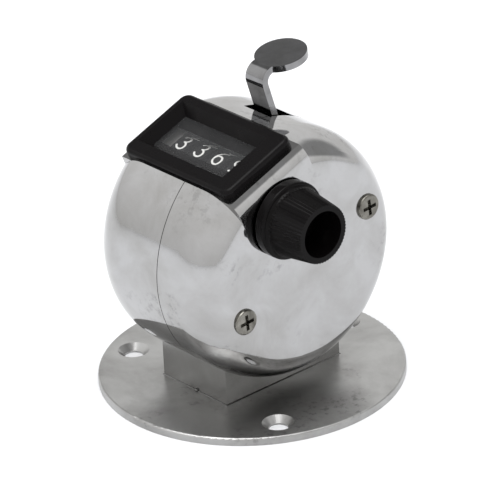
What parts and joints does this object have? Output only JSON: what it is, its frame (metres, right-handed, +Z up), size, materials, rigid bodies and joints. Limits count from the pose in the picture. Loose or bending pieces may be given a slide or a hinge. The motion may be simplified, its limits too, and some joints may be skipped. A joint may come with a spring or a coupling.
{
  "type": "base-mounted hand tally counter",
  "caption": "Round chromed tally counter on a post and a screw-down base plate, with a number window, thumb lever and reset knob.",
  "frame": {"origin": "the middle of the base plate's underside", "axes": "+Z up, +X towards the reset knob, -Y towards the front, where the number window is"},
  "size_m": [0.0538, 0.0538, 0.0587],
  "materials": {
    "chromed_steel": "polished chrome plate over drawn sheet steel",
    "dull_chrome": "chrome plate, slightly smudged and pitted",
    "nickel_screw": "nickel-plated steel",
    "lever_steel": "polished nickel-plated strip steel",
    "black_plastic": "moulded black plastic, satin",
    "clear_plastic": "clear moulded plastic, glossy",
    "wheel_plastic": "moulded black plastic with white printed figures",
    "frame_steel": "zinc-plated sheet steel",
    "turned_steel": "bright turned steel",
    "spring_steel": "spring wire and leaf",
    "brass": "turned brass"
  },
  "bodies": {
    "case": {"base_plate": "dull_chrome", "base_post": "dull_chrome", "base_screws": "turned_steel", "case_nut_plate": "frame_steel", "left_shell": "chromed_steel", "right_shell": "chromed_steel", "window_bezel": "black_plastic", "window_lens": "clear_plastic", "case_screws": "nickel_screw", "case_pillars": "turned_steel", "left_frame_plate": "frame_steel", "right_frame_plate": "frame_steel", "left_spacers": "turned_steel", "long_spacers": "turned_steel", "right_spacers": "turned_steel", "left_bushing": "brass", "right_bushing": "brass", "pinion_shaft": "turned_steel", "tie_rod": "turned_steel", "stop_pawl_rod": "turned_steel", "lever_stop_pin": "turned_steel", "stop_pawl_spring": "spring_steel", "lever_return_spring": "spring_steel"},
    "lever": {"thumb_lever": "lever_steel", "drive_pawl_pin": "turned_steel", "drive_pawl_spring": "spring_steel"},
    "drive_pawl": {"drive_pawl": "turned_steel"},
    "stop_pawl": {"stop_pawl": "turned_steel"},
    "knob": {"reset_shaft": "turned_steel", "shaft_clip": "spring_steel", "knob_washer": "black_plastic", "reset_knob": "black_plastic", "knob_screw": "nickel_screw"},
    "units": {"units_wheel": "wheel_plastic", "ratchet_wheel": "turned_steel"},
    "tens": {"tens_wheel": "wheel_plastic"},
    "hundreds": {"hundreds_wheel": "wheel_plastic"},
    "thousands": {"thousands_wheel": "wheel_plastic"},
    "tens_pinion": {"tens_pinion": "brass"},
    "hundreds_pinion": {"hundreds_pinion": "brass"},
    "thousands_pinion": {"thousands_pinion": "brass"}
  },
  "joints": [
    {"name": "lever_press", "type": "hinge", "parent": "case", "child": "lever", "pos_m": [0, -0.0132, 0.0321], "axis": [1, 0, 0], "range_deg": [-14, 0], "stiffness_Nm_per_rad": 0.12, "springref_deg": 8.59, "deforming": ["lever_return_spring"]},
    {"name": "drive_pawl_swing", "type": "hinge", "parent": "lever", "child": "drive_pawl", "pos_m": [0, -0.0003, 0.04415], "axis": [1, 0, 0], "range_deg": [0, 12], "stiffness_Nm_per_rad": 0.0006, "springref_deg": -28.65, "deforming": ["drive_pawl_spring"]},
    {"name": "stop_pawl_swing", "type": "hinge", "parent": "case", "child": "stop_pawl", "pos_m": [0, -0.0132, 0.0321], "axis": [1, 0, 0], "range_deg": [0, 12], "stiffness_Nm_per_rad": 0.0006, "springref_deg": -28.65, "deforming": ["stop_pawl_spring"]},
    {"name": "reset_turn", "type": "hinge", "parent": "case", "child": "knob", "pos_m": [0, -0.0046, 0.0367], "axis": [1, 0, 0], "continuous": true},
    {"name": "units_turn", "type": "hinge", "parent": "case", "child": "units", "pos_m": [0, -0.0046, 0.0367], "axis": [1, 0, 0], "continuous": true},
    {"name": "tens_turn", "type": "hinge", "parent": "case", "child": "tens", "pos_m": [0, -0.0046, 0.0367], "axis": [1, 0, 0], "continuous": true},
    {"name": "hundreds_turn", "type": "hinge", "parent": "case", "child": "hundreds", "pos_m": [0, -0.0046, 0.0367], "axis": [1, 0, 0], "continuous": true},
    {"name": "thousands_turn", "type": "hinge", "parent": "case", "child": "thousands", "pos_m": [0, -0.0046, 0.0367], "axis": [1, 0, 0], "continuous": true},
    {"name": "tens_pinion_turn", "type": "hinge", "parent": "case", "child": "tens_pinion", "pos_m": [0, -0.0046, 0.029], "axis": [1, 0, 0], "continuous": true},
    {"name": "hundreds_pinion_turn", "type": "hinge", "parent": "case", "child": "hundreds_pinion", "pos_m": [0, -0.0046, 0.029], "axis": [1, 0, 0], "continuous": true},
    {"name": "thousands_pinion_turn", "type": "hinge", "parent": "case", "child": "thousands_pinion", "pos_m": [0, -0.0046, 0.029], "axis": [1, 0, 0], "continuous": true}
  ],
  "couplings": [
    {"joint": "tens_pinion_turn", "follows": "tens_turn", "ratio": -2.5},
    {"joint": "hundreds_pinion_turn", "follows": "hundreds_turn", "ratio": -2.5},
    {"joint": "thousands_pinion_turn", "follows": "thousands_turn", "ratio": -2.5}
  ]
}
